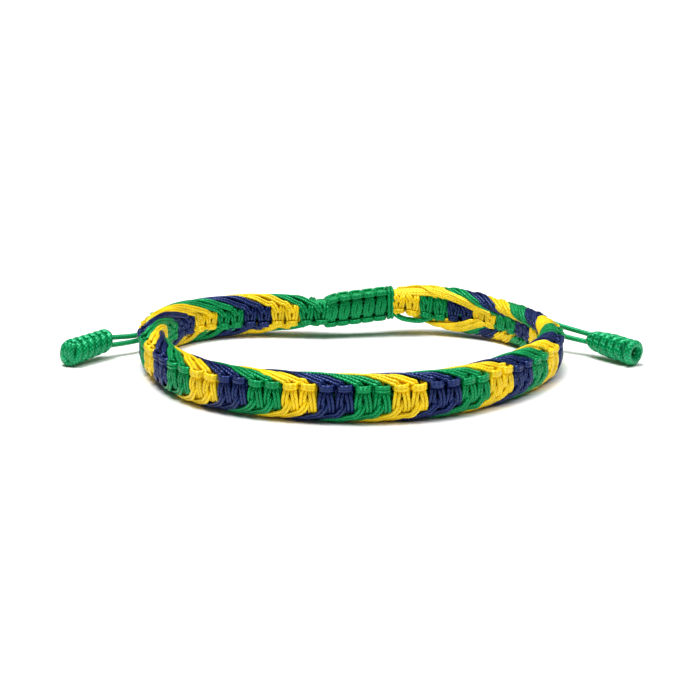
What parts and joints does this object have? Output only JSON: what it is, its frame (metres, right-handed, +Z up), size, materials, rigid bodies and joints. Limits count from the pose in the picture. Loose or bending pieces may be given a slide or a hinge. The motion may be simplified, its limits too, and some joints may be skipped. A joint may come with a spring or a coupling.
{
  "type": "braided cord bracelet",
  "caption": "Flat braided cord bracelet in three colours, closed by a sliding knot, with two pairs of ties that end in wound knots.",
  "frame": {"origin": "under the middle of the ring, on the surface that the bracelet lies on", "axes": "+X along the long way of the ring, to the right in the picture, +Y from its front to the sliding knot at its back, +Z up out of the wrist opening"},
  "size_m": [0.0878, 0.0536, 0.0079],
  "materials": {
    "green_cord": "green twisted nylon cord with a slight gloss",
    "yellow_cord": "yellow twisted nylon cord with a slight gloss",
    "navy_cord": "navy twisted nylon cord with a slight gloss"
  },
  "bodies": {
    "root": {"core_cords": "green_cord", "green_cords": "green_cord", "yellow_cords": "yellow_cord", "navy_cords": "navy_cord", "sliding_knot": "green_cord", "left_tie_upper": "green_cord", "left_tie_lower": "green_cord", "right_tie_upper": "green_cord", "right_tie_lower": "green_cord", "left_end_knot": "green_cord", "right_end_knot": "green_cord"}
  },
  "joints": []
}
